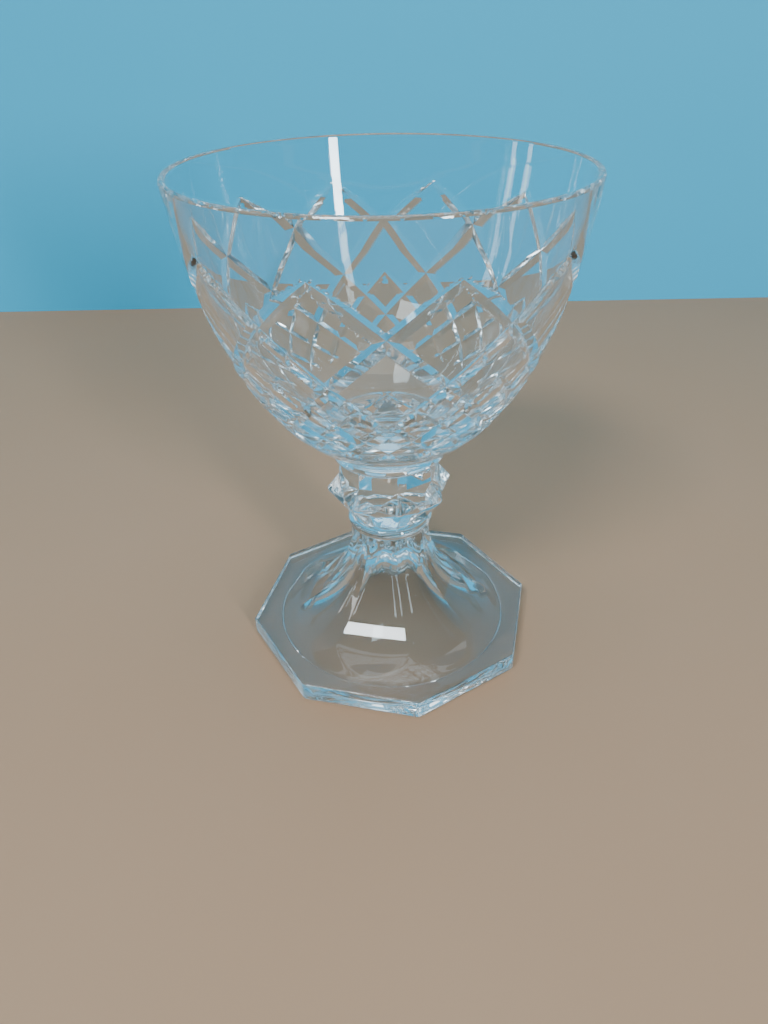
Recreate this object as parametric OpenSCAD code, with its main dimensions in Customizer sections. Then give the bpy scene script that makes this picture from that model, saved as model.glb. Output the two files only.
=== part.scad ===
// Cut-crystal wine goblet on a spiked knop and an octagonal foot.
// Five gathers of clear glass, joined hot face to face: foot, lower collar,
// knop, upper collar and bowl. Millimetres, +Z up, origin on the table under
// the middle of the foot.

/* [Foot] */
// Width of the octagonal plate, flat to flat
foot_across = 74.5; // [70:0.5:96]
// Thickness of the plate at its edge
plate_t = 5.6; // [3:0.1:8]
// Bevel along the upper and the lower edge of the plate
plate_bevel = 0.8; // [0.3:0.1:1.4]
// Height of the whole foot, from the table to the lower collar
foot_h = 35; // [26:0.5:46]
// Diameter of the trumpet where it meets the collar
waist_d = 21.4; // [17:0.1:25]
// Diameter of the circle where the trumpet meets the plate
trumpet_d = 66; // [52:0.5:70]
// Depth of the trumpet's eight panels at the waist
panel_depth = 1; // [0.9:0.05:1.5]
// Width over two panels where they meet the plate
panel_end_w = 64; // [60:0.5:65.5]
// Depth of the round flute in each panel at the waist
flute_depth = 1.8; // [1.2:0.1:2.6]
// Diameter at which the flutes run out on the trumpet
flute_end_d = 36; // [30:0.5:48]
// Diameter of the hollow in the underside, where the foot stands on the table
hollow_d = 65.4; // [56:0.2:68]
// Wall between the hollow and the waist, if the hollow rose as high
foot_wall = 5.5; // [4:0.1:6.5]
// Solid glass between the top of the hollow and the top of the foot
crown_t = 9; // [7:0.5:16]
// Angle of one corner of the foot, and of one spike of the knop, from +X
corner_turn = 9; // [0:0.5:45]

/* [Lower collar] */
// Diameter of the bead between foot and knop
lower_collar_d = 22.6; // [20:0.1:27]
// Height of the bead
lower_collar_h = 3.6; // [2.4:0.1:5]

/* [Knop] */
// Height of the knop between the two collars
knop_h = 18; // [14:0.2:24]
// Diameter over two opposite spikes
spike_d = 33.4; // [29:0.2:40]
// Height of the spikes above the bottom of the knop
spike_z = 8.4; // [7.4:0.1:9.6]
// Diameter over the valleys between the spikes
valley_d = 27.7; // [25:0.1:28.5]
// Height of the upper end of a valley above the bottom of the knop
valley_top_z = 8.2; // [7.4:0.1:9]
// Length of the short upright edge at the bottom of a valley
valley_edge = 2.2; // [1:0.1:3.4]
// Diameter over the corners of the octagonal neck above the spikes
neck_d = 26.2; // [23:0.1:28]
// Height of that neck
neck_h = 5.1; // [3:0.1:5.6]
// Diameter over the lower tips of the spikes
hip_d = 22.6; // [20:0.1:25]
// Height of the undercut below the lower tips
undercut_h = 1; // [0.5:0.1:2]
// How far the undercut runs in, all round
undercut = 0.9; // [0.3:0.1:2]

/* [Upper collar] */
// Thickness of the round wafer under the bowl
upper_collar_t = 2; // [1.4:0.1:4]
// How far the wafer stands out past the corners of the knop's neck
upper_collar_out = 1.5; // [0.6:0.1:3]

/* [Bowl] */
// Outer diameter of the rim
rim_d = 90; // [76:0.5:110]
// Height of the bowl above the upper collar
bowl_h = 65.5; // [56:0.5:90]
// Thickness of the fire-polished rim
rim_t = 1.5; // [1:0.1:2.4]
// Thickness of the glass under the hollow of the bowl
floor_t = 7.4; // [4:0.1:12]
// How steeply the outside leaves the collar: reach of the curve outwards
flare_out = 4.1; // [1:0.1:8]
// How steeply the outside leaves the collar: reach of the curve upwards
flare_up = 5.8; // [2:0.1:10]
// How far the belly draws in below the rim
belly_in = 6.1; // [2:0.1:10]
// How high above the collar the belly turns
belly_up = 11; // [6:0.1:20]
// How far inside the outside's turn the inside turns: more thickens the belly
belly_wall = 0.9; // [0.6:0.1:3]
// How much higher the inside turns than the outside
inside_lift = 10.8; // [8:0.1:16]
// Width of the rounded bottom inside, short of the belly's
inside_round = 14; // [10:0.5:20]

/* [Hidden] */

// Smoothness of a full turn, and steps along the bowl's outline
$fn = 96;
outline_steps = 28;
// Sides of the foot and the knop, and the angle between them
sides = 8;
side_angle = 360 / sides;
// Anything longer than the goblet is wide, for cuts that run right through
through = 4 * rim_d;

// Heights at which the pieces meet
knop_z = foot_h + lower_collar_h;
upper_collar_z = knop_z + knop_h;
bowl_z = upper_collar_z + upper_collar_t;

// Trumpet: an arc that stands upright at the waist and ends on the plate
waist_r = waist_d / 2;
trumpet_r = trumpet_d / 2;
flare_w = trumpet_r - waist_r;
flare_h = foot_h - plate_t;
trumpet_arc = (flare_w ^ 2 + flare_h ^ 2) / (2 * flare_w);

// Panel: a second upright arc, straight across, deeper than the trumpet's
panel_reach = panel_end_w / 2 - waist_r + panel_depth;
panel_arc = (panel_reach ^ 2 + flare_h ^ 2) / (2 * panel_reach);

// Flute: a third upright arc, cut deeper still at the waist, that runs out where
// the trumpet has the flute's end diameter
flute_end_r = flute_end_d / 2;
flute_end_drop = sqrt(trumpet_arc ^ 2 - (waist_r + trumpet_arc - flute_end_r) ^ 2);
flute_reach = flute_end_r - waist_r + flute_depth;
flute_arc = (flute_reach ^ 2 + flute_end_drop ^ 2) / (2 * flute_reach);
// Radius of the flute's round section, so that two flutes meet in an edge
flute_half = waist_r * sin(side_angle / 2);
flute_bite = waist_r * cos(side_angle / 2) - (waist_r - flute_depth);
flute_r = (flute_half ^ 2 + flute_bite ^ 2) / (2 * flute_bite);

// Hollow: an arc like the trumpet's, with a round cap that touches it
core_r = waist_r - foot_wall;
hollow_w = hollow_d / 2 - core_r;
hollow_arc = (hollow_w ^ 2 + foot_h ^ 2) / (2 * hollow_w);
hollow_c = core_r + hollow_arc;
cap_r = (hollow_c ^ 2 + crown_t ^ 2 - hollow_arc ^ 2) / (2 * (hollow_arc - crown_t));
cap_z = foot_h - crown_t - cap_r;
// Angle at which cap and arc touch, and at which the arc meets the table
cap_turn = atan2(crown_t + cap_r, hollow_c);
hollow_toe = asin(foot_h / hollow_arc);
// Steps along the cap, and the angle of one
cap_steps = 8;
cap_step = (90 - cap_turn) / cap_steps;

// Knop rings: radius, height above the knop's bottom, share of a side turned
valley_low_z = valley_top_z - valley_edge;
neck_z = knop_h - neck_h;
knop_rings = [
    [hip_d / 2 - undercut, 0, 0],
    [hip_d / 2, undercut_h, 0],
    [valley_d / 2, valley_low_z, 0.5],
    [spike_d / 2, spike_z, 0],
    [valley_d / 2, valley_top_z, 0.5],
    [neck_d / 2, neck_z, 0],
    [neck_d / 2, knop_h, 0],
];

// Bowl outlines: each is a cubic curve through its first and last point
rim_r = rim_d / 2;
upper_collar_r = neck_d / 2 + upper_collar_out;
rim_z = bowl_h - rim_t / 2;
outside = [
    [upper_collar_r, 0],
    [upper_collar_r + flare_out, flare_up],
    [rim_r - belly_in, belly_up],
    [rim_r, rim_z],
];
inside_turn = outside[2] + [-belly_wall, inside_lift];
inside = [
    [0, floor_t],
    [inside_turn[0] - inside_round, floor_t],
    inside_turn,
    [rim_r - rim_t, rim_z],
];

// Point at t (0 to 1) on the cubic curve with control points c
function cubic(c, t) =
    (1 - t) ^ 3 * c[0] + 3 * (1 - t) ^ 2 * t * c[1]
    + 3 * (1 - t) * t ^ 2 * c[2] + t ^ 3 * c[3];

// Points of an arc of radius r about c, from angle a to angle b
function arc(c, r, a, b, n = 8) =
    [for (i = [0 : n]) c + r * [cos(a + (b - a) * i / n), sin(a + (b - a) * i / n)]];

// Upright prism with as many flat sides as the foot, width w from flat to
// flat, with both edges bevelled: what is inside every pair of flats
module bevelled_plate(w, h, bevel) {
    half = w / 2;
    intersection_for (k = [0 : sides / 2 - 1])
        rotate([90, 0, corner_turn + (k + 0.5) * side_angle])
            linear_extrude(height = through, center = true)
                polygon([
                    [-half + bevel, 0], [half - bevel, 0],
                    [half, bevel], [half, h - bevel],
                    [half - bevel, h], [-half + bevel, h],
                    [-half, h - bevel], [-half, bevel],
                ]);
}

// Round trumpet from the plate up to the waist
module trumpet() {
    toe = asin(flare_h / trumpet_arc);
    centre = [waist_r + trumpet_arc, foot_h];
    rotate_extrude()
        polygon(concat(
            [[0, foot_h]],
            arc(centre, trumpet_arc, 180, 180 + toe, outline_steps),
            [[trumpet_r, plate_t / 2], [0, plate_t / 2]]
        ));
}

// Cuts one panel: a level cylinder beside the trumpet
module panel() {
    translate([waist_r - panel_depth + panel_arc, 0, foot_h])
        rotate([90, 0, 0])
            cylinder(r = panel_arc, h = through, center = true);
}

// One flute: a round tube bent along the flute's arc
module flute() {
    translate([waist_r - flute_depth + flute_arc, 0, foot_h])
        rotate([90, 0, 0])
            rotate_extrude()
                translate([flute_arc - flute_r, 0])
                    circle(r = flute_r);
}

// The plunger that presses the hollow into the underside
module plunger() {
    rotate_extrude()
        polygon(concat(
            [[0, -foot_wall], [hollow_d / 2, -foot_wall]],
            arc([hollow_c, foot_h], hollow_arc, 180 + hollow_toe, 180 + cap_turn, outline_steps),
            arc([0, cap_z], cap_r, cap_turn + cap_step, 90, cap_steps - 1)
        ));
}

module foot() {
    color([0.72, 0.88, 0.95, 0.45])
        difference() {
            union() {
                bevelled_plate(foot_across, plate_t, plate_bevel);
                difference() {
                    trumpet();
                    for (k = [0 : sides - 1])
                        rotate([0, 0, corner_turn + (k + 0.5) * side_angle]) {
                            panel();
                            flute();
                        }
                }
            }
            plunger();
        }
}

// Round bead: a disc with a half-round edge
module bead(d, h) {
    rotate_extrude()
        polygon(concat(
            [[0, 0]],
            arc([d / 2 - h / 2, h / 2], h / 2, -90, 90, 16),
            [[0, h]]
        ));
}

module lower_collar() {
    color([0.66, 0.85, 0.94, 0.5])
        translate([0, 0, foot_h])
            bead(lower_collar_d, lower_collar_h);
}

// Faceted knop: eight spikes, each a pyramid on its side, between two
// octagons; every face is a flat triangle or a flat four-sided panel
module knop() {
    points = [for (ring = knop_rings) for (k = [0 : sides - 1])
        let (a = corner_turn + (k + ring[2]) * side_angle)
        [ring[0] * cos(a), ring[0] * sin(a), ring[1]]];
    // Index of corner k on a ring, and of the one before it
    function at(ring, k) = ring * sides + (k + sides) % sides;
    faces = concat(
        [[for (k = [0 : sides - 1]) at(0, k)]],
        [for (k = [0 : sides - 1]) each [
            [at(0, k), at(1, k), at(1, k + 1), at(0, k + 1)],
            [at(1, k), at(2, k), at(1, k + 1)],
            [at(1, k), at(3, k), at(2, k)],
            [at(1, k), at(2, k - 1), at(3, k)],
            [at(2, k), at(3, k), at(4, k)],
            [at(2, k), at(4, k), at(3, k + 1)],
            [at(3, k), at(5, k), at(4, k)],
            [at(3, k), at(4, k - 1), at(5, k)],
            [at(4, k), at(5, k), at(5, k + 1)],
            [at(5, k), at(6, k), at(6, k + 1), at(5, k + 1)],
        ]],
        [[for (k = [sides - 1 : -1 : 0]) at(6, k)]]
    );
    color([0.6, 0.83, 0.95, 0.6])
        translate([0, 0, knop_z])
            polyhedron(points = points, faces = faces);
}

module upper_collar() {
    color([0.66, 0.85, 0.94, 0.5])
        translate([0, 0, upper_collar_z])
            bead(2 * upper_collar_r, upper_collar_t);
}

module bowl() {
    lip_c = [rim_r - rim_t / 2, rim_z];
    color([0.78, 0.92, 0.97, 0.35])
        translate([0, 0, bowl_z])
            rotate_extrude()
                polygon(concat(
                    [[0, 0]],
                    [for (i = [0 : outline_steps - 1]) cubic(outside, i / outline_steps)],
                    arc(lip_c, rim_t / 2, 0, 180),
                    [for (i = [outline_steps - 1 : -1 : 0]) cubic(inside, i / outline_steps)]
                ));
}

foot();
lower_collar();
knop();
upper_collar();
bowl();
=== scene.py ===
"""Cut-crystal wine goblet: its finished glass meshes, materials, light, floor and camera.

Five pieces of clear glass stand on one another, as they were joined hot: the foot, the lower
collar, the knop, the upper collar and the bowl. The knop is made of flat facets. Each other
piece is a closed surface worked out on a grid of turns round the axis and steps along an
outline. Sizes are metres, angles degrees.
"""
import logging
from dataclasses import dataclass, field
from enum import Enum
from typing import Any, Union

import bpy
import numpy as np
from mathutils import Matrix, Vector


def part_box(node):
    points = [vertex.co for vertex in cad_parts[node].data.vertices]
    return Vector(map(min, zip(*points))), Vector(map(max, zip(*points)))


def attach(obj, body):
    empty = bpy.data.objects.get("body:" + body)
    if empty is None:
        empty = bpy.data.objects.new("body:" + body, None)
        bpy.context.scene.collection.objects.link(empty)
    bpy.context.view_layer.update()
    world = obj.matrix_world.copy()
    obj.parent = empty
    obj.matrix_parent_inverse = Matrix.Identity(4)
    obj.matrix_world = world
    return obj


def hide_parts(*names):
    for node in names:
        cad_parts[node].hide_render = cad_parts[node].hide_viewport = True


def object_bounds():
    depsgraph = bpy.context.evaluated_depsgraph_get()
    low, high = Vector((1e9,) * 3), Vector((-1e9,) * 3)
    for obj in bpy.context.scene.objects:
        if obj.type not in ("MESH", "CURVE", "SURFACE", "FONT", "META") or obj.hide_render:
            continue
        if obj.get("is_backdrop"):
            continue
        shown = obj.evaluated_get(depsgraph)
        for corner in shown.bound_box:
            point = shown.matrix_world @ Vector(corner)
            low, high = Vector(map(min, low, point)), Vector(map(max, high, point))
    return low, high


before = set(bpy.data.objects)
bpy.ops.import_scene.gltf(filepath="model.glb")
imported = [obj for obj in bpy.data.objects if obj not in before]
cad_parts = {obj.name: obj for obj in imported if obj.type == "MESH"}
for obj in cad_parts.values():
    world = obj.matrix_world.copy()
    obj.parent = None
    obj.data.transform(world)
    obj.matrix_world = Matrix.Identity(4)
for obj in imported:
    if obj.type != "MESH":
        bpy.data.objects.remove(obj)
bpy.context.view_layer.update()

log = logging.getLogger("goblet")
MM = 0.001
TABLE_TOP = -0.0002  # the floor lies a hair under the foot, so that no two faces share a plane
CUT_MARK = "cut"  # attribute of the bowl that says how deep each point was cut
FULL_TURN = 360.0
SIDES = 8  # sides of the plate and of the knop, and panels of the trumpet
SIDE_TURN = FULL_TURN / SIDES
CORNER_TURN = 9.0  # turn of the first corner, which the plate, the trumpet and the knop share
Number = Union[float, "Socket"]
Colour = Union[tuple[float, float, float, float], "Socket"]


class Face(Enum):
    """What a face of a piece is: outer glass, or a join that was fused hot and can't be seen."""

    GLASS = 0
    FUSED = 1


class Seat(Enum):
    """Outline of the area over which two pieces are fused."""

    ROUND = "round"
    OCTAGON = "octagon"

    def outline(self, turn: np.ndarray, radius: float) -> np.ndarray:
        """Radius of the outline at each turn; an octagon has the radius at its corners."""
        if self is Seat.ROUND:
            return np.full(turn.shape, radius)
        return octagon_radius(turn, radius * np.cos(np.radians(SIDE_TURN / 2)), CORNER_TURN, 0.0)


# ---------------------------------------------------------------- outlines and grids


def cubic(points: np.ndarray, t: np.ndarray) -> np.ndarray:
    """Points on a cubic curve: each control point weighted by its Bernstein share at t.

    Args:
        points: four control points, one a row.
        t: places along the curve, 0 to 1.

    Returns:
        One point a row.
    """
    t = np.asarray(t, float)[:, None]
    s = 1 - t
    return s**3 * points[0] + 3 * s**2 * t * points[1] + 3 * s * t**2 * points[2] + t**3 * points[3]


def cubic_normal(points: np.ndarray, t: np.ndarray) -> np.ndarray:
    """Unit normals of a cubic outline, to the right of its way: the slope turned a quarter.

    Args:
        points: four control points of radius and height.
        t: places along the curve, 0 to 1.

    Returns:
        Normals of radius and height, one a row.
    """
    t = np.asarray(t, float)[:, None]
    s = 1 - t
    first, second, third = np.diff(points, axis=0)
    way = s**2 * first + 2 * s * t * second + t**2 * third
    normal = np.stack([way[:, 1], -way[:, 0]], axis=1)
    return normal / np.linalg.norm(normal, axis=1, keepdims=True)


def arc(centre: tuple[float, float], radius: float, start: float, end: float, steps: int) -> np.ndarray:
    """Points of an arc: the centre plus the radius times the cosine and sine of the angle.

    Args:
        centre: radius and height of the centre.
        radius: radius of the arc.
        start: first angle, in degrees.
        end: last angle, in degrees.
        steps: number of steps between them.

    Returns:
        Points of radius and height, one a row.
    """
    a = np.radians(np.linspace(start, end, steps + 1))
    return np.stack([centre[0] + radius * np.cos(a), centre[1] + radius * np.sin(a)], axis=1)


def octagon_radius(turn: np.ndarray, flat: float, corner_turn: float, rounding: float) -> np.ndarray:
    """Radius of an octagon with rounded corners: flat over cosine, or the corner's own circle.

    Args:
        turn: angles round the axis, in degrees.
        flat: distance from the axis to a flat side.
        corner_turn: angle of one corner, in degrees.
        rounding: radius of the corners.

    Returns:
        The radius at each angle.
    """
    half = np.radians(SIDE_TURN / 2)
    from_corner = np.radians((turn - corner_turn + SIDE_TURN / 2) % SIDE_TURN - SIDE_TURN / 2)
    from_middle = half - np.abs(from_corner)
    reach = (flat - rounding) / np.cos(half)
    touch = np.arctan2(reach * np.sin(half), flat)
    on_flat = flat / np.cos(from_middle)
    inside = np.maximum(rounding**2 - (reach * np.sin(from_corner)) ** 2, 0)
    on_corner = reach * np.cos(from_corner) + np.sqrt(inside)
    return np.where(from_middle <= touch, on_flat, on_corner)


def spread(values: np.ndarray, turn: np.ndarray) -> np.ndarray:
    """Rows that each hold one of the values at every turn."""
    return np.repeat(np.reshape(values, (-1, 1)), len(turn), axis=1)


def from_side_middle(turn: np.ndarray, corner_turn: float) -> np.ndarray:
    """Angle of each turn from the middle of its side: the rest after whole sides, less half a side.

    Args:
        turn: angles round the axis, in degrees.
        corner_turn: angle of one corner, in degrees.

    Returns:
        The angle of each, in radians.
    """
    return np.radians((turn - corner_turn) % SIDE_TURN - SIDE_TURN / 2)


def soft_positive(x: np.ndarray, softness: float) -> np.ndarray:
    """The positive part of x with its corner rounded: half of the sum of x and the root of x
    squared and softness squared."""
    return 0.5 * (x + np.sqrt(x * x + softness * softness))


def smooth_step(x: np.ndarray) -> np.ndarray:
    """A rise from 0 to 1 with level ends: three x squared less two x cubed, held at both ends."""
    x = np.clip(x, 0, 1)
    return x * x * (3 - 2 * x)


@dataclass
class Shell:
    """Gathers rings of points round the axis and the faces between them into one closed mesh.

    Rings run with the turn, and follow the outline from the pole underneath, outwards, up and
    back in to the pole on top, so every face points out of the glass.
    """

    points: list[np.ndarray] = field(default_factory=list)
    corners: list[np.ndarray] = field(default_factory=list)
    counts: list[np.ndarray] = field(default_factory=list)
    kinds: list[np.ndarray] = field(default_factory=list)
    size: int = 0

    def rings(self, radius: np.ndarray, height: np.ndarray, turn: np.ndarray) -> np.ndarray:
        """Adds rings: radius times the cosine and sine of the turn, at the height.

        Args:
            radius: rows of rings by columns of turn.
            height: the same shape, or one that spreads to it.
            turn: angle of each column, in degrees.

        Returns:
            The points' numbers, rings by columns.
        """
        radius = np.atleast_2d(radius)
        radius, height = np.broadcast_arrays(radius, height)
        a = np.radians(turn)[None, :]
        xyz = np.stack([radius * np.cos(a), radius * np.sin(a), height], axis=-1)
        ids = self.size + np.arange(radius.size).reshape(radius.shape)
        self.points.append(xyz.reshape(-1, 3))
        self.size += radius.size
        return ids

    def pole(self, height: float) -> int:
        """Adds one point on the axis and returns its number."""
        self.points.append(np.array([[0.0, 0.0, height]]))
        self.size += 1
        return self.size - 1

    def faces(self, corners: np.ndarray, kind: Face) -> None:
        """Adds faces, one a row of point numbers, of one kind."""
        self.corners.append(corners.reshape(-1))
        self.counts.append(np.full(len(corners), corners.shape[1]))
        self.kinds.append(np.full(len(corners), kind.value))

    def skin(self, ids: np.ndarray, kind: Face = Face.GLASS) -> None:
        """Joins neighbouring rings by four-sided faces."""
        right = np.roll(ids, -1, axis=1)
        quads = np.stack([ids[:-1], right[:-1], right[1:], ids[1:]], axis=-1)
        self.faces(quads.reshape(-1, 4), kind)

    def creased_skin(self, ids: np.ndarray, rising: np.ndarray) -> None:
        """Joins neighbouring rings by triangles, split along a chosen diagonal of each cell.

        Args:
            ids: point numbers, rings by columns.
            rising: for each cell, whether its split rises with the turn.
        """
        right = np.roll(ids, -1, axis=1)
        a, b, c, d = ids[:-1], right[:-1], right[1:], ids[1:]
        first = np.where(rising[..., None], np.stack([a, b, c], -1), np.stack([a, b, d], -1))
        second = np.where(rising[..., None], np.stack([a, c, d], -1), np.stack([b, c, d], -1))
        self.faces(first.reshape(-1, 3), Face.GLASS)
        self.faces(second.reshape(-1, 3), Face.GLASS)

    def zip_rings(self, lower: np.ndarray, upper: np.ndarray) -> None:
        """Joins two rings of which one has twice the other's points, by three triangles a cell.

        Args:
            lower: point numbers of the ring that comes first along the outline.
            upper: point numbers of the ring after it.
        """
        if len(lower) < len(upper):
            c0, c1 = lower, np.roll(lower, -1)
            f0, f1, f2 = upper[0::2], upper[1::2], np.roll(upper[0::2], -1)
            tris = [(c0, f1, f0), (c0, c1, f1), (c1, f2, f1)]
        else:
            c0, c1 = upper, np.roll(upper, -1)
            f0, f1, f2 = lower[0::2], lower[1::2], np.roll(lower[0::2], -1)
            tris = [(c0, f0, f1), (c0, f1, c1), (c1, f1, f2)]
        for tri in tris:
            self.faces(np.stack(tri, axis=-1), Face.GLASS)

    def close(self, ring: np.ndarray, pole: int, first: bool, kind: Face) -> None:
        """Closes a ring with a fan of triangles to a pole.

        Args:
            ring: point numbers of the ring.
            pole: number of the point on the axis.
            first: whether the pole comes before the ring along the outline.
            kind: kind of the faces.
        """
        right = np.roll(ring, -1)
        middle = np.full_like(ring, pole)
        order = (middle, right, ring) if first else (ring, right, middle)
        self.faces(np.stack(order, axis=-1), kind)

    def mesh(self, name: str, crease: float) -> bpy.types.Object:
        """Makes the mesh object: smooth faces, with sharp edges where they meet at more than crease.

        Args:
            name: name of the piece.
            crease: angle above which an edge stays sharp, in degrees.

        Returns:
            The object, at the origin.
        """
        points = np.concatenate(self.points)
        corners = np.concatenate(self.corners).astype(np.int32)
        counts = np.concatenate(self.counts)
        starts = np.concatenate([[0], np.cumsum(counts)[:-1]]).astype(np.int32)
        mesh = bpy.data.meshes.new(name)
        mesh.vertices.add(len(points))
        mesh.vertices.foreach_set("co", points.astype(np.float32).reshape(-1))
        mesh.loops.add(len(corners))
        mesh.loops.foreach_set("vertex_index", corners)
        mesh.polygons.add(len(counts))
        mesh.polygons.foreach_set("loop_start", starts)
        mesh.polygons.foreach_set("material_index", np.concatenate(self.kinds).astype(np.int32))
        mesh.update(calc_edges=True)
        mesh.validate()
        mesh.shade_smooth()
        mesh.set_sharp_from_angle(angle=np.radians(crease))
        piece = bpy.data.objects.new(name, mesh)
        bpy.context.scene.collection.objects.link(piece)
        return piece


# ---------------------------------------------------------------- shader sockets as numbers


class Graph:
    """The nodes of a material or of the sky, with one method that makes any of them."""

    def __init__(self, data: bpy.types.Material | bpy.types.World) -> None:
        """Starts from an empty node tree."""
        self.data = data
        self.data.use_nodes = True
        self.tree = self.data.node_tree
        self.tree.nodes.clear()

    def node(self, kind: str, settings: dict[str, Any] | None = None, **sockets: Any) -> bpy.types.Node:
        """Makes a node: its settings first, then the values or links of its sockets.

        Args:
            kind: node type, such as "ShaderNodeMath".
            settings: properties of the node, such as its operation. "stops" sets a ramp's stops.
            sockets: input name, with _ for a blank, or "i" and a number, to a value or a link.

        Returns:
            The node.
        """
        made = self.tree.nodes.new(kind)
        for key, value in (settings or {}).items():
            if key == "stops":
                set_stops(made.color_ramp, value)
            else:
                setattr(made, key, value)
        for key, value in sockets.items():
            by_number = key[0] == "i" and key[1:].isdigit()
            target = made.inputs[int(key[1:])] if by_number else made.inputs[key.replace("_", " ")]
            if isinstance(value, Socket):
                self.tree.links.new(value.out, target)
            else:
                target.default_value = value
        return made

    def read(
        self, kind: str, output: str, settings: dict[str, Any] | None = None, **sockets: Any
    ) -> "Socket":
        """Makes a node as node() does, and returns its output of that name."""
        return Socket(self, self.node(kind, settings, **sockets).outputs[output])

    def place(self) -> "Socket":
        """Where a point of the surface is on its piece, in metres."""
        return self.read("ShaderNodeTexCoord", "Object")


def set_stops(ramp: bpy.types.ColorRamp, stops: list[tuple[float, tuple[float, ...]]]) -> None:
    """Gives a ramp its stops, each a place and a colour."""
    while len(ramp.elements) < len(stops):
        ramp.elements.new(0.5)
    for element, (place, colour) in zip(ramp.elements, stops):
        element.position = place
        element.color = colour


class Socket:
    """An output socket that takes part in sums: each operator adds a Math node."""

    def __init__(self, owner: Graph, out: bpy.types.NodeSocket) -> None:
        """Wraps an output of one of the owner's nodes."""
        self.owner = owner
        self.out = out

    def maths(self, operation: str, other: Number) -> "Socket":
        """A Math node on this value and another."""
        node = self.owner.node("ShaderNodeMath", {"operation": operation}, i0=self, i1=other)
        return Socket(self.owner, node.outputs[0])

    def __add__(self, other: Number) -> "Socket":
        """This plus other."""
        return self.maths("ADD", other)

    def __radd__(self, other: Number) -> "Socket":
        """Other plus this."""
        return self.maths("ADD", other)

    def __mul__(self, other: Number) -> "Socket":
        """This times other."""
        return self.maths("MULTIPLY", other)

    def __rmul__(self, other: Number) -> "Socket":
        """Other times this."""
        return self.maths("MULTIPLY", other)

    def stretched(self, scale: tuple[float, float, float]) -> "Socket":
        """This vector with each part scaled, by a Vector Math node."""
        node = self.owner.node("ShaderNodeVectorMath", {"operation": "MULTIPLY"}, i0=self, i1=scale)
        return Socket(self.owner, node.outputs[0])

    def noise(self, scale: float, detail: float = 2.0) -> "Socket":
        """Soft noise, 0 to 1, read at this place."""
        node = self.owner.node("ShaderNodeTexNoise", Vector=self, Scale=scale, Detail=detail)
        return Socket(self.owner, node.outputs[0])

    def blend(self, low: Colour, high: Colour) -> "Socket":
        """A colour between low and high, by this value, through a Mix node."""
        node = self.owner.node("ShaderNodeMix", {"data_type": "RGBA"}, i0=self, i6=low, i7=high)
        return Socket(self.owner, node.outputs[2])


# ---------------------------------------------------------------- finishes


@dataclass(frozen=True)
class Crystal:
    """Clear lead crystal: its faint tint, how it bends light, its polish and its slow waves."""

    name: str
    tint: tuple[float, float, float]
    deep_tint: tuple[float, float, float]
    ior: float = 1.545
    polish: float = 0.004
    haze: float = 0.012
    wave_depth: float = 0.00006
    wave_scale: float = 60.0
    wave_stretch: tuple[float, float, float] = (1.0, 1.0, 0.22)
    cloud_scale: float = 220.0
    cut_haze: float = 0.0

    def make(self) -> bpy.types.Material:
        """Builds the material.

        Roughness is the polish plus a share of fine noise, and more where the glass was cut.
        The normal follows slow noise, stretched upright as blown glass draws out.

        Returns:
            The material.
        """
        m = Graph(bpy.data.materials.new(self.name))
        place = m.place()
        cloud = place.noise(self.cloud_scale)
        tint = cloud.blend((*self.tint, 1), (*self.deep_tint, 1))
        rough = cloud * self.haze + self.polish
        if self.cut_haze:
            cut = m.read("ShaderNodeAttribute", "Fac", {"attribute_name": CUT_MARK})
            rough = rough + cut * self.cut_haze
        wave = place.stretched(self.wave_stretch).noise(self.wave_scale, 1.0)
        bump = m.read("ShaderNodeBump", "Normal", Strength=1.0, Distance=self.wave_depth, Height=wave)
        glass = m.read(
            "ShaderNodeBsdfPrincipled",
            "BSDF",
            Base_Color=tint,
            Roughness=rough,
            IOR=self.ior,
            Transmission_Weight=1.0,
            Normal=bump,
        )
        m.node("ShaderNodeOutputMaterial", Surface=glass)
        return m.data


@dataclass(frozen=True)
class FusedJoin:
    """The face where two gathers were joined hot: inside the glass, so nothing shows."""

    name: str = "fused_join"

    def make(self) -> bpy.types.Material:
        """Builds a clear surface that bends and mirrors nothing."""
        m = Graph(bpy.data.materials.new(self.name))
        m.node("ShaderNodeOutputMaterial", Surface=m.read("ShaderNodeBsdfPrincipled", "BSDF", Alpha=0.0))
        return m.data


@dataclass(frozen=True)
class StudioPaper:
    """Plain matt paper of the floor or the backdrop, with a very faint mottle."""

    name: str
    tone: tuple[float, float, float, float]
    other_tone: tuple[float, float, float, float]
    mottle_scale: float = 9.0
    roughness: float = 0.7

    def make(self) -> bpy.types.Material:
        """Builds the paper: its colour blends between the two tones by slow noise."""
        m = Graph(bpy.data.materials.new(self.name))
        colour = m.place().noise(self.mottle_scale).blend(self.tone, self.other_tone)
        paper = m.read("ShaderNodeBsdfPrincipled", "BSDF", Base_Color=colour, Roughness=self.roughness)
        m.node("ShaderNodeOutputMaterial", Surface=paper)
        return m.data


# ---------------------------------------------------------------- the pieces


@dataclass
class Piece:
    """One gather of glass that stands for one node of the frame."""

    node: str
    slot: str
    finish: Crystal

    @property
    def low(self) -> float:
        """Height of the underside, from the frame."""
        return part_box(self.node)[0].z

    @property
    def high(self) -> float:
        """Height of the top, from the frame."""
        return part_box(self.node)[1].z

    def build(self) -> bpy.types.Object:
        """Makes the piece's mesh."""
        raise NotImplementedError

    def dress(self, piece: bpy.types.Object, join: bpy.types.Material) -> None:
        """Gives the piece its glass and ties it to the frame.

        Args:
            piece: the mesh object.
            join: material of the fused faces.
        """
        piece.data.materials.append(self.finish.make())
        piece.data.materials.append(join)
        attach(piece, "root")
        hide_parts(self.node)
        log.info("%s: %d faces", piece.name, len(piece.data.polygons))


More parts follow.
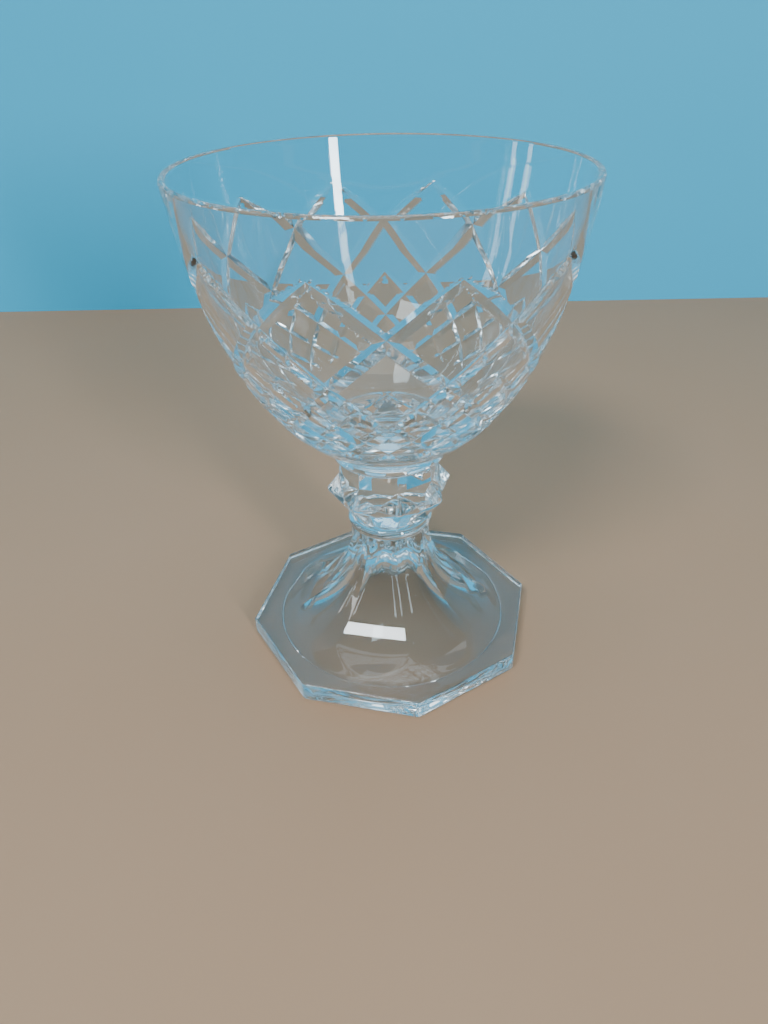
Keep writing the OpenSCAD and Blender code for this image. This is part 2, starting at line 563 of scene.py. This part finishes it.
@dataclass
class Foot(Piece):
    """Octagonal plate with a trumpet of eight flat panels above it, each fluted at the waist.

    The flat is the distance from the axis to a side of the plate. The waist, the trumpet, the
    hollow and the ends of the panels and flutes are radii. The plate is a height, and the crown
    is how far the hollow's top lies under the foot's.
    """

    columns: int = 600
    trumpet_steps: int = 60
    hollow_steps: int = 40
    cap_steps: int = 14
    edge_steps: int = 4
    corner_turn: float = CORNER_TURN
    flat: float = 37.25 * MM
    plate: float = 5.6 * MM
    plate_shares: tuple[float, ...] = (0.66, 0.33)
    bevel: float = 0.8 * MM
    rounding: float = 1.1 * MM
    waist: float = 10.7 * MM
    trumpet: float = 33.0 * MM
    panel_end: float = 32.0 * MM
    panel_fade: float = 6.0 * MM
    crest_in: float = 0.15 * MM
    panel_clear: float = 0.3 * MM
    flute_depth: float = 1.8 * MM
    flute_end: float = 18.0 * MM
    flute_gone: float = 21.6 * MM
    flute_fade: float = 4.0 * MM
    hollow: float = 32.7 * MM
    hollow_edge: float = 0.35 * MM
    wall: float = 5.5 * MM
    crown: float = 9.0 * MM
    edge_softness: float = 0.12 * MM
    fused: float = 8.6 * MM

    @property
    def arc_radius(self) -> float:
        """Radius of the trumpet's outline, an arc that stands upright at the waist and ends on the
        plate: its width and rise squared, over twice the width."""
        width, rise = self.trumpet - self.waist, self.high - self.plate
        return (width**2 + rise**2) / (2 * width)

    def flute_cut(self, radius: np.ndarray, height: np.ndarray, turn: np.ndarray) -> np.ndarray:
        """Depth of the flutes in the trumpet: the gap between the flute's arc and the trumpet's,
        less how far the round tool and the round trumpet draw apart sideways, where positive. It
        fades to nothing where the flutes are gone.

        Args:
            radius: radius of each row of the trumpet.
            height: height of each row.
            turn: angle of each column, in degrees.

        Returns:
            Depth along the trumpet's normal, rows by columns.
        """
        big = self.arc_radius
        drop = np.sqrt(big**2 - (self.waist + big - self.flute_end) ** 2)
        reach = self.flute_end - self.waist + self.flute_depth
        small = (reach**2 + drop**2) / (2 * reach)
        half = np.radians(SIDE_TURN / 2)
        bite = self.waist * np.cos(half) - (self.waist - self.flute_depth)
        tool = ((self.waist * np.sin(half)) ** 2 + bite**2) / (2 * bite)
        centre = self.waist - self.flute_depth + small
        gap = small - np.hypot(centre - radius, self.high - height)
        lean = (self.waist + big - radius) / big
        aside = from_side_middle(turn, self.corner_turn)
        across = radius[:, None] * np.sin(aside)[None, :]
        drawn = tool - np.sqrt(np.maximum(tool**2 - across**2, 0))
        fall = radius[:, None] * (1 - np.cos(aside))[None, :] * lean[:, None]
        cut = gap[:, None] - drawn - fall
        inside_tool = np.abs(across) < tool
        fade = smooth_step(inside_tool * (self.flute_gone - radius[:, None]) / self.flute_fade)
        return soft_positive(cut, self.edge_softness) * fade

    def panel_cut(self, radius: np.ndarray, turn: np.ndarray) -> np.ndarray:
        """How far inside the round trumpet its eight flat panels lie: the radius less the
        panel's distance from the axis over the cosine of the turn from the panel's middle.

        Args:
            radius: radius of each row of the trumpet.
            turn: angle of each column, in degrees.

        Returns:
            Depth along the radius, rows by columns, and never less than none.
        """
        share = np.clip((self.panel_end - radius) / self.panel_fade, 0, 1)
        full = self.panel_clear + self.crest_in + radius * (1 - np.cos(np.radians(SIDE_TURN / 2)))
        flat = radius + self.panel_clear - share * full
        aside = from_side_middle(turn, self.corner_turn)
        depth = radius[:, None] - flat[:, None] / np.cos(aside)[None, :]
        return soft_positive(depth, self.edge_softness)

    def underside(self) -> np.ndarray:
        """Outline of the pressed hollow from its top out to the table: a round cap that touches
        an arc, both centred so that the cap's top lies the crown's depth under the foot's top,
        and a small round edge at the table.

        Returns:
            Points of radius and height, one a row, without the one on the axis.
        """
        core = self.waist - self.wall
        width = self.hollow - core
        big = (width**2 + self.high**2) / (2 * width)
        centre = core + big
        cap = (centre**2 + self.crown**2 - big**2) / (2 * (big - self.crown))
        touch = np.degrees(np.arctan2(self.crown + cap, centre))
        toe = np.degrees(np.arcsin((self.high - self.hollow_edge) / big))
        tip = arc((0.0, self.high - self.crown - cap), cap, 90, touch, self.cap_steps)[1:]
        side = arc((centre, self.high), big, 180 + touch, 180 + toe, self.hollow_steps)[1:]
        end = self.hollow_edge
        edge = arc((side[-1][0] + end, end), end, 180 - toe / 2, 270, self.edge_steps)[1:]
        return np.concatenate([tip, side, edge])

    def plate_edge(self, turn: np.ndarray) -> tuple[np.ndarray, np.ndarray]:
        """Edge of the plate, bevelled by a quarter round below and above, and two rows on its top.

        Args:
            turn: angle of each column, in degrees.

        Returns:
            Radius and height, both rows by columns.
        """
        rim = octagon_radius(turn, self.flat, self.corner_turn, self.rounding)[None, :]
        edge = arc((0, self.bevel), self.bevel, -90, 0, self.edge_steps)
        edge_r = rim - self.bevel + edge[:, :1]
        shares = np.array(self.plate_shares)
        top_r = shares[:, None] * (edge_r[:1] - self.trumpet) + self.trumpet
        heights = np.concatenate([edge[:, 1], self.plate - edge[::-1, 1], np.full(len(shares), self.plate)])
        return np.concatenate([edge_r, edge_r[::-1], top_r]), spread(heights, turn)

    def trumpet_side(self, turn: np.ndarray) -> tuple[np.ndarray, np.ndarray]:
        """The trumpet from the plate up: its arc, set in along its normal by whichever is deeper
        of the flutes and the panels.

        Args:
            turn: angle of each column, in degrees.

        Returns:
            Radius and height, both rows by columns.
        """
        big = self.arc_radius
        toe = np.degrees(np.arcsin((self.high - self.plate) / big))
        line = arc((self.waist + big, self.high), big, 180 + toe, 180, self.trumpet_steps)
        lean = (np.array([self.waist + big, self.high]) - line) / big
        panels = self.panel_cut(line[:, 0], turn) * lean[:, :1]
        cut = np.maximum(self.flute_cut(line[:, 0], line[:, 1], turn), panels)
        height = line[:, 1:] - cut * lean[:, 1:]
        height[-1] = self.high
        return line[:, :1] - cut * lean[:, :1], height

    def build(self) -> bpy.types.Object:
        """Makes the foot: hollow underside, bevelled edge, plate, trumpet and top."""
        turn = self.corner_turn + np.arange(self.columns) * FULL_TURN / self.columns
        under = self.underside()
        edge_r, edge_z = self.plate_edge(turn)
        side_r, side_z = self.trumpet_side(turn)
        shell = Shell()
        body = shell.rings(
            np.concatenate([spread(under[:, 0], turn), edge_r, side_r]),
            np.concatenate([spread(under[:, 1], turn), edge_z, side_z]),
            turn,
        )
        shell.skin(body)
        shell.close(body[0], shell.pole(self.high - self.crown), True, Face.GLASS)
        seat = shell.rings(spread([self.fused], turn), self.high, turn)
        shell.skin(np.concatenate([body[-1:], seat]))
        shell.close(seat[0], shell.pole(self.high), False, Face.FUSED)
        return shell.mesh("foot_crystal", crease=24)


@dataclass
class Collar(Piece):
    """Round bead between two pieces, with a half-round edge and a fused area below and above."""

    name: str
    below_radius: float
    above_radius: float
    below: Seat = Seat.ROUND
    columns: int = 600
    edge_steps: int = 16

    def build(self) -> bpy.types.Object:
        """Makes the bead: fused underside, half-round edge and fused top.

        The edge leaves out its level ends, so that it parts from the neighbours at once.
        """
        turn = np.arange(self.columns) * FULL_TURN / self.columns
        half = (self.high - self.low) / 2
        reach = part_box(self.node)[1].x
        edge = arc((reach - half, self.low + half), half, -90, 90, self.edge_steps)[1:-1]
        below = self.below.outline(turn, self.below_radius)[None, :]
        above_and_edge = spread([*edge[:, 0], self.above_radius], turn)
        heights = np.array([self.low, *edge[:, 1], self.high])
        shell = Shell()
        body = shell.rings(np.concatenate([below, above_and_edge]), heights[:, None], turn)
        shell.skin(body)
        shell.close(body[0], shell.pole(self.low), True, Face.FUSED)
        shell.close(body[-1], shell.pole(self.high), False, Face.FUSED)
        return shell.mesh(self.name, crease=40)


@dataclass
class Knop(Piece):
    """Pressed stem piece with eight six-sided spikes between two octagons.

    From the bottom up its corners are the undercut base's, the hip's, the lower ends of the
    valleys between the spikes, the spikes' tips, the upper ends of the valleys, the neck's and
    the crown's. Heights are measured up from the base, and the neck's down from the crown.
    """

    corner_turn: float = CORNER_TURN
    undercut: float = 0.9 * MM
    undercut_h: float = 1.0 * MM
    hip: float = 11.3 * MM
    valley: float = 13.85 * MM
    spike: float = 16.7 * MM
    neck: float = 13.1 * MM
    valley_low: float = 6.0 * MM
    valley_top: float = 8.2 * MM
    spike_z: float = 8.4 * MM
    neck_h: float = 5.1 * MM
    edge_round: float = 0.3 * MM
    edge_segments: int = 3
    edge_angle: float = 4.0
    fused_below: float = 9.2 * MM
    fused_steps: int = 600

    @classmethod
    def crown_radius(cls) -> float:
        """Corner radius of the top octagon once its edge is rounded: the rounding comes off
        each flat, so the corners lose it over the cosine of half a side's angle."""
        return cls.neck - cls.edge_round / np.cos(np.radians(SIDE_TURN / 2))

    def build(self) -> bpy.types.Object:
        """Makes the facets, ring by ring, and rounds their edges as fire-polishing does."""
        corners = self.corner_turn + np.arange(SIDES) * SIDE_TURN
        between = corners + SIDE_TURN / 2
        height = self.high - self.low
        rings = [
            (self.hip - self.undercut, 0.0, corners),
            (self.hip, self.undercut_h, corners),
            (self.valley, self.valley_low, between),
            (self.spike, self.spike_z, corners),
            (self.valley, self.valley_top, between),
            (self.neck, height - self.neck_h, corners),
            (self.neck, height, corners),
        ]
        shell = Shell()
        base, hip, low, spike, top, neck, crown = (
            shell.rings(spread([r], turn), self.low + z, turn)[0] for r, z, turn in rings
        )
        hip_next, spike_next, neck_next = (np.roll(ring, -1) for ring in (hip, spike, neck))
        shell.skin(np.stack([base, hip]))
        shell.faces(np.stack([hip, hip_next, low], -1), Face.GLASS)
        shell.faces(np.stack([hip, low, spike], -1), Face.GLASS)
        shell.faces(np.stack([low, hip_next, spike_next], -1), Face.GLASS)
        shell.faces(np.stack([spike, low, top], -1), Face.GLASS)
        shell.faces(np.stack([low, spike_next, top], -1), Face.GLASS)
        shell.faces(np.stack([spike, top, neck], -1), Face.GLASS)
        shell.faces(np.stack([top, spike_next, neck_next], -1), Face.GLASS)
        shell.faces(np.stack([top, neck_next, neck], -1), Face.GLASS)
        shell.skin(np.stack([neck, crown]))
        shell.faces(crown[None, :], Face.FUSED)
        self.add_base(shell, base)
        piece = shell.mesh("knop_crystal", crease=1)
        rounding = piece.modifiers.new("fire_polish", "BEVEL")
        rounding.width = self.edge_round
        rounding.segments = self.edge_segments
        rounding.limit_method = "ANGLE"
        rounding.angle_limit = np.radians(self.edge_angle)
        rounding.harden_normals = True
        return piece

    def add_base(self, shell: Shell, base: np.ndarray) -> None:
        """Closes the underside: a fused disc, and from each side of the base one face to it.

        Args:
            shell: the mesh under way.
            base: point numbers of the base's corners.
        """
        turn = self.corner_turn + np.arange(self.fused_steps) * FULL_TURN / self.fused_steps
        seat = shell.rings(spread([self.fused_below], turn), self.low, turn)[0]
        steps = self.fused_steps // SIDES
        stretch = (np.arange(SIDES)[:, None] * steps + np.arange(steps + 1)) % self.fused_steps
        around = np.concatenate([np.roll(base, -1)[:, None], base[:, None], seat[stretch]], axis=1)
        shell.faces(around, Face.GLASS)
        shell.faces(seat[None, ::-1], Face.FUSED)


@dataclass
class Bowl(Piece):
    """Blown bowl with a thick bottom and a net of crossed V-shaped cuts outside.

    A cut turns round the bowl as it falls, so one angle says both. The step, the cuts' half
    widths, their end, their tips' length, their run-out, and the net's top and end are such
    angles. The tips' place and the two gaps are shares of the outline.
    """

    step: float = 0.6
    bottom_rows: int = 14
    bottom_gap: float = 0.02
    band_rows: int = 7
    band_gap: float = 0.012
    lip_steps: int = 8
    inside_steps: int = 25
    rim_t: float = 1.5 * MM
    floor_t: float = 7.4 * MM
    seat: float = 14.6 * MM
    fused: float = 13.2 * MM
    flare_out: float = 4.1 * MM
    flare_up: float = 5.8 * MM
    belly_in: float = 6.1 * MM
    belly_up: float = 11.0 * MM
    belly_wall: float = 0.9 * MM
    inside_lift: float = 10.8 * MM
    inside_round: float = 14.0 * MM
    cuts_round: int = 10
    cut_half: float = 3.6
    fine_half: float = 3.0
    cut_depth: float = 1.05 * MM
    fine_depth: float = 0.85 * MM
    cut_end: float = 76.8
    tip_share: float = 0.12
    tip_length: float = 12.0
    run_out: float = 3.6
    net_top: float = -3.6
    net_end: float = 78.0
    tip_place: float = 0.93
    fall_rate: float = 0.00407
    fall_gain: float = 0.000036
    frost_gain: float = 4.0

    @property
    def outside(self) -> np.ndarray:
        """Control points of the outside, radius and height."""
        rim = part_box(self.node)[1].x
        return np.array([
            [self.seat, self.low],
            [self.seat + self.flare_out, self.low + self.flare_up],
            [rim - self.belly_in, self.low + self.belly_up],
            [rim, self.high - self.rim_t / 2],
        ])

    @property
    def inside(self) -> np.ndarray:
        """Control points of the inside, radius and height, from the bottom up."""
        outside = self.outside
        turn = outside[2] + [-self.belly_wall, self.inside_lift]
        return np.array([
            [0.0, self.low + self.floor_t],
            [turn[0] - self.inside_round, self.low + self.floor_t],
            turn,
            outside[3] - [self.rim_t, 0],
        ])

    def place(self, fall: np.ndarray) -> np.ndarray:
        """Where on the outline a cut lies once it has turned by fall degrees from its tip: the
        tip's place less a slightly quickening fall."""
        return self.tip_place - self.fall_rate * fall - self.fall_gain * fall * np.abs(fall)

    def cut(
        self, turn: np.ndarray, fall: np.ndarray, start: float, offset: float, half: float
    ) -> np.ndarray:
        """Depth, 0 to 1, of one set of V cuts: one less the distance to the nearest cut over its
        half width, where positive. A cut leaning one way lies where the turn less the fall is
        its own tip's, and one leaning the other way where their sum is.

        Args:
            turn: angle of each column, in degrees.
            fall: angle each row lies below the tips, in degrees.
            start: fall at which this set starts.
            offset: angle of the set's tips, less their start.
            half: half width of a cut, in degrees.

        Returns:
            Depth share of each lean, shape (2, rows, columns).
        """
        pitch = FULL_TURN / self.cuts_round
        rise = smooth_step((fall - start + half) / self.tip_length)
        begin = self.tip_share + (1 - self.tip_share) * rise
        end = smooth_step((self.cut_end - fall) / self.run_out)
        share = (begin * np.sqrt(end))[:, None]
        wide = np.maximum(half * share, 1e-6)  # never 0, as it divides
        leans = []
        for lean in (-1, 1):
            away = (turn[None, :] + lean * fall[:, None] - offset + pitch / 2) % pitch - pitch / 2
            along = 2 * (fall[:, None] - start) + lean * away
            depth = np.maximum(1 - np.abs(away) / wide, 0) * share
            leans.append(np.where(along > -wide, depth, 0))
        return np.stack(leans)

    def net(self, turn: np.ndarray, fall: np.ndarray, radius: np.ndarray) -> tuple[np.ndarray, np.ndarray]:
        """Depth of the whole net and, for each point, whether its cut goes down with the turn.

        Args:
            turn: angle of each column, in degrees.
            fall: angle each row lies below the tips, in degrees.
            radius: radius of each row; cuts get shallower as the bowl narrows.

        Returns:
            Depth in metres and the lean, both rows by columns.
        """
        pitch = FULL_TURN / self.cuts_round
        scale = (radius / radius.max())[:, None]
        long = self.cut(turn, fall, 0.0, 0.0, self.cut_half) * self.cut_depth
        fine = self.cut(turn, fall, pitch, pitch / 2, self.fine_half) * self.fine_depth
        leans = np.maximum(long, fine)
        return leans.max(axis=0) * scale, leans[0] > leans[1]

    def build(self) -> bpy.types.Object:
        """Makes the bowl: seat, plain bottom, cut net, plain band, lip and inside.

        The plain parts have half the net's columns, and are joined to it by narrower triangles.
        """
        turn = np.arange(round(FULL_TURN / self.step)) * self.step
        coarse = turn[::2]
        fall = np.arange(self.net_end, self.net_top - self.step / 2, -self.step)
        t = self.place(fall)
        line, normal = cubic(self.outside, t), cubic_normal(self.outside, t)
        depth, _ = self.net(turn, fall, line[:, 0])
        net_r, net_z = line[:, :1] - depth * normal[:, :1], line[:, 1:] - depth * normal[:, 1:]
        bottom = cubic(self.outside, np.linspace(0, t[0] - self.bottom_gap, self.bottom_rows))
        top = self.top_outline(t[-1] + self.band_gap)

        shell = Shell()
        seat_ids = shell.rings(spread([self.fused], coarse), self.low, coarse)
        bottom_ids = shell.rings(spread(bottom[:, 0], coarse), bottom[:, 1:], coarse)
        net_ids = shell.rings(net_r, net_z, turn)
        top_ids = shell.rings(spread(top[:, 0], coarse), top[:, 1:], coarse)

        shell.close(seat_ids[0], shell.pole(self.low), True, Face.FUSED)
        shell.skin(np.concatenate([seat_ids, bottom_ids]))
        shell.zip_rings(bottom_ids[-1], net_ids[0])
        shell.creased_skin(net_ids, self.rising_cells(turn, fall))
        shell.zip_rings(net_ids[-1], top_ids[0])
        shell.skin(top_ids)
        shell.close(top_ids[-1], shell.pole(self.inside[0][1]), False, Face.GLASS)
        piece = shell.mesh("bowl_crystal", crease=13)
        self.mark_cuts(piece, net_ids, depth)
        return piece

    def top_outline(self, start: float) -> np.ndarray:
        """Outline from above the net, over the lip and down the inside, short of the axis.

        Args:
            start: where on the outside it starts, 0 to 1.

        Returns:
            Points of radius and height, one a row.
        """
        rim_r, rim_z = self.outside[3]
        band = cubic(self.outside, np.linspace(start, 1, self.band_rows)[:-1])
        lip = arc((rim_r - self.rim_t / 2, rim_z), self.rim_t / 2, 0, 180, self.lip_steps)
        inner = cubic(self.inside, np.linspace(1, 0, self.inside_steps + 1)[1:-1])
        return np.concatenate([band, lip, inner])

    def rising_cells(self, turn: np.ndarray, fall: np.ndarray) -> np.ndarray:
        """Whether each cell of the net is split along the diagonal that rises with the turn, so
        that the split follows the bottom of the deeper cut at the cell's middle.

        Args:
            turn: angle of each column, in degrees.
            fall: angle each row lies below the tips, in degrees.

        Returns:
            True or false for each cell, rows by columns.
        """
        middle_fall = (fall[:-1] + fall[1:]) / 2
        radius = cubic(self.outside, self.place(middle_fall))[:, 0]
        _, going_down = self.net(turn + self.step / 2, middle_fall, radius)
        return ~going_down

    def mark_cuts(self, piece: bpy.types.Object, ids: np.ndarray, depth: np.ndarray) -> None:
        """Stores on each point how deep it was cut, as a share, for the finish to read.

        Args:
            piece: the bowl.
            ids: point numbers of the net.
            depth: how deep each was cut, in metres.
        """
        mark = piece.data.attributes.new(CUT_MARK, "FLOAT", "POINT")
        values = np.zeros(len(piece.data.vertices), np.float32)
        values[ids.reshape(-1)] = np.clip(depth.reshape(-1) / self.cut_depth * self.frost_gain, 0, 1)
        mark.data.foreach_set("value", values)


# ---------------------------------------------------------------- floor, light and camera


@dataclass(frozen=True)
class SoftBox:
    """A rectangular studio lamp that faces the goblet and is itself out of sight."""

    name: str
    turn: float
    rise: float
    distance: float
    size: tuple[float, float]
    power: float
    colour: tuple[float, float, float] = (1.0, 1.0, 1.0)

    def hang(self, aim: Vector) -> None:
        """Puts the lamp in the scene, at its distance along its turn and rise from the goblet.

        Args:
            aim: the point it faces.
        """
        lamp = bpy.data.lights.new(self.name, "AREA")
        lamp.shape = "RECTANGLE"
        lamp.size, lamp.size_y = self.size
        lamp.energy = self.power
        lamp.color = self.colour
        turn, rise = np.radians(self.turn), np.radians(self.rise)
        way = Vector((np.cos(turn) * np.cos(rise), np.sin(turn) * np.cos(rise), np.sin(rise)))
        holder = bpy.data.objects.new(self.name, lamp)
        holder.location = aim + way * self.distance
        holder.rotation_euler = way.to_track_quat("Z", "Y").to_euler()
        holder.visible_camera = False
        bpy.context.scene.collection.objects.link(holder)


@dataclass(frozen=True)
class Studio:
    """Plain pale floor, plain blue backdrop behind it, soft sky and soft boxes."""

    reach: float = 4.0
    backdrop_y: float = 0.277
    backdrop_h: float = 0.8
    floor: StudioPaper = StudioPaper("floor_paper", (0.36, 0.20, 0.11, 1), (0.38, 0.22, 0.13, 1))
    backdrop: StudioPaper = StudioPaper("backdrop_paper", (0.012, 0.38, 0.63, 1), (0.018, 0.39, 0.64, 1))
    shade: tuple[float, float, float, float] = (0.08, 0.22, 0.29, 1)
    low_sky: tuple[float, float, float, float] = (0.06, 0.46, 0.70, 1)
    high_sky: tuple[float, float, float, float] = (0.30, 0.66, 0.84, 1)
    sky_strength: float = 0.62
    boxes: tuple[SoftBox, ...] = (
        SoftBox("window", -60, 20, 1.3, (0.12, 0.62), 15.0, (0.90, 0.97, 1.0)),
        SoftBox("skylight", -118, 48, 1.2, (0.40, 0.24), 13.0, (0.86, 0.95, 1.0)),
        SoftBox("right_strip", 18, 9, 1.4, (0.2, 0.5), 1.0),
        SoftBox("left_strip", 172, 12, 1.4, (0.08, 0.5), 1.0),
        SoftBox("far_left_strip", 184, 12, 1.4, (0.08, 0.5), 1.0),
        SoftBox("overhead", 90, 86, 1.3, (0.9, 0.9), 5.0),
    )

    def sheet(self, name: str, corners: list[tuple[float, float, float]], paper: StudioPaper) -> None:
        """Lays one flat sheet of paper with the given corners."""
        mesh = bpy.data.meshes.new(name)
        mesh.from_pydata(corners, [], [(0, 1, 2, 3)])
        sheet = bpy.data.objects.new(name, mesh)
        bpy.context.scene.collection.objects.link(sheet)
        mesh.materials.append(paper.make())
        sheet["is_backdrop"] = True

    def lay_paper(self) -> None:
        """Lays the floor up to the backdrop, and stands the backdrop on it."""
        x, y, z, top = self.reach, self.backdrop_y, TABLE_TOP, self.backdrop_h
        self.sheet("floor", [(-x, -x, z), (x, -x, z), (x, y, z), (-x, y, z)], self.floor)
        self.sheet("backdrop", [(-x, y, z), (x, y, z), (x, y, top), (-x, y, top)], self.backdrop)

    def light(self) -> None:
        """Sets the sky and hangs the soft boxes.

        The sky is shaded on the camera's side, pale blue on the far side and palest above: the
        first blend goes by the direction's Y, and the second by its Z.
        """
        sky = Graph(bpy.data.worlds.new("studio_sky"))
        bpy.context.scene.world = sky.data
        split = sky.node("ShaderNodeSeparateXYZ", i0=sky.read("ShaderNodeTexCoord", "Generated"))
        away, up = Socket(sky, split.outputs["Y"]), Socket(sky, split.outputs["Z"])
        to_far_side = {"stops": [(0.0, self.shade), (0.6, self.low_sky)]}
        to_the_top = {"stops": [(0.35, (0, 0, 0, 1)), (0.8, (1, 1, 1, 1))]}
        across = sky.read("ShaderNodeValToRGB", "Color", to_far_side, Fac=away)
        height = sky.read("ShaderNodeValToRGB", "Color", to_the_top, Fac=up)
        colour = height.blend(across, self.high_sky)
        glow = sky.read("ShaderNodeBackground", "Background", Color=colour, Strength=self.sky_strength)
        sky.node("ShaderNodeOutputWorld", Surface=glow)
        low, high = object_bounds()
        aim = (Vector(low) + Vector(high)) / 2
        for box in self.boxes:
            box.hang(aim)


@dataclass(frozen=True)
class Viewpoint:
    """Camera in front of the goblet, looking down into it."""

    place: tuple[float, float, float] = (0.0, -0.1654, 0.1514)
    lens: float = 25.93
    yaw: float = 0.72
    pitch: float = 34.64
    roll: float = -0.85
    shift_x: float = -0.01325
    sensor: float = 36.0

    def set_up(self) -> None:
        """Makes the camera: it looks along the yaw and down by the pitch, then rolls."""
        camera = bpy.data.cameras.new("camera")
        camera.lens = self.lens
        camera.sensor_width = self.sensor
        camera.shift_x = self.shift_x
        camera.clip_start = 0.005
        yaw, pitch, roll = (np.radians(a) for a in (self.yaw, self.pitch, self.roll))
        ahead = Vector((np.sin(yaw) * np.cos(pitch), np.cos(yaw) * np.cos(pitch), -np.sin(pitch)))
        right = Vector((np.cos(yaw), -np.sin(yaw), 0.0))
        above = right.cross(ahead)
        tilted = right * np.cos(roll) + above * np.sin(roll)
        upright = above * np.cos(roll) - right * np.sin(roll)
        turn = Matrix((tilted, upright, -ahead)).transposed()
        holder = bpy.data.objects.new("camera", camera)
        holder.matrix_world = Matrix.Translation(self.place) @ turn.to_4x4()
        bpy.context.scene.collection.objects.link(holder)
        bpy.context.scene.camera = holder


def allow_glass_paths(bounces: int = 40) -> None:
    """Lets light pass through many glass walls one after another."""
    cycles = bpy.context.scene.cycles
    cycles.max_bounces = bounces
    cycles.transmission_bounces = bounces
    cycles.glossy_bounces = bounces
    cycles.transparent_max_bounces = bounces


def main() -> None:
    """Builds the goblet from the foot up, then the studio and the camera."""
    logging.basicConfig(level=logging.INFO, format="%(message)s")
    Viewpoint().set_up()
    clear = (0.97, 0.99, 1.0)
    cool = (0.93, 0.98, 1.0)
    pressed = Crystal("pressed_crystal", clear, cool, wave_stretch=(1, 1, 1), wave_depth=0.00004)
    faceted = Crystal(
        "faceted_crystal",
        clear,
        cool,
        ior=1.6,
        wave_depth=0.0001,
        wave_scale=260.0,
        wave_stretch=(1, 1, 0.4),
    )
    blown = Crystal("cut_crystal", clear, cool, cut_haze=0.03)
    join = FusedJoin().make()
    crown = Knop.crown_radius()
    lower, upper = "lower_collar_crystal", "upper_collar_crystal"
    pieces = [
        Foot("foot", "foot_crystal", pressed),
        Collar("lower_collar", "collar_crystal", pressed, lower, Foot.fused, Knop.fused_below),
        Knop("knop", "knop_crystal", faceted),
        Collar("upper_collar", "collar_crystal", pressed, upper, crown, Bowl.fused, Seat.OCTAGON),
        Bowl("bowl", "bowl_crystal", blown),
    ]
    for piece in pieces:
        piece.dress(piece.build(), join)
    studio = Studio()
    studio.lay_paper()
    studio.light()
    allow_glass_paths()


if __name__ == "__main__":
    main()
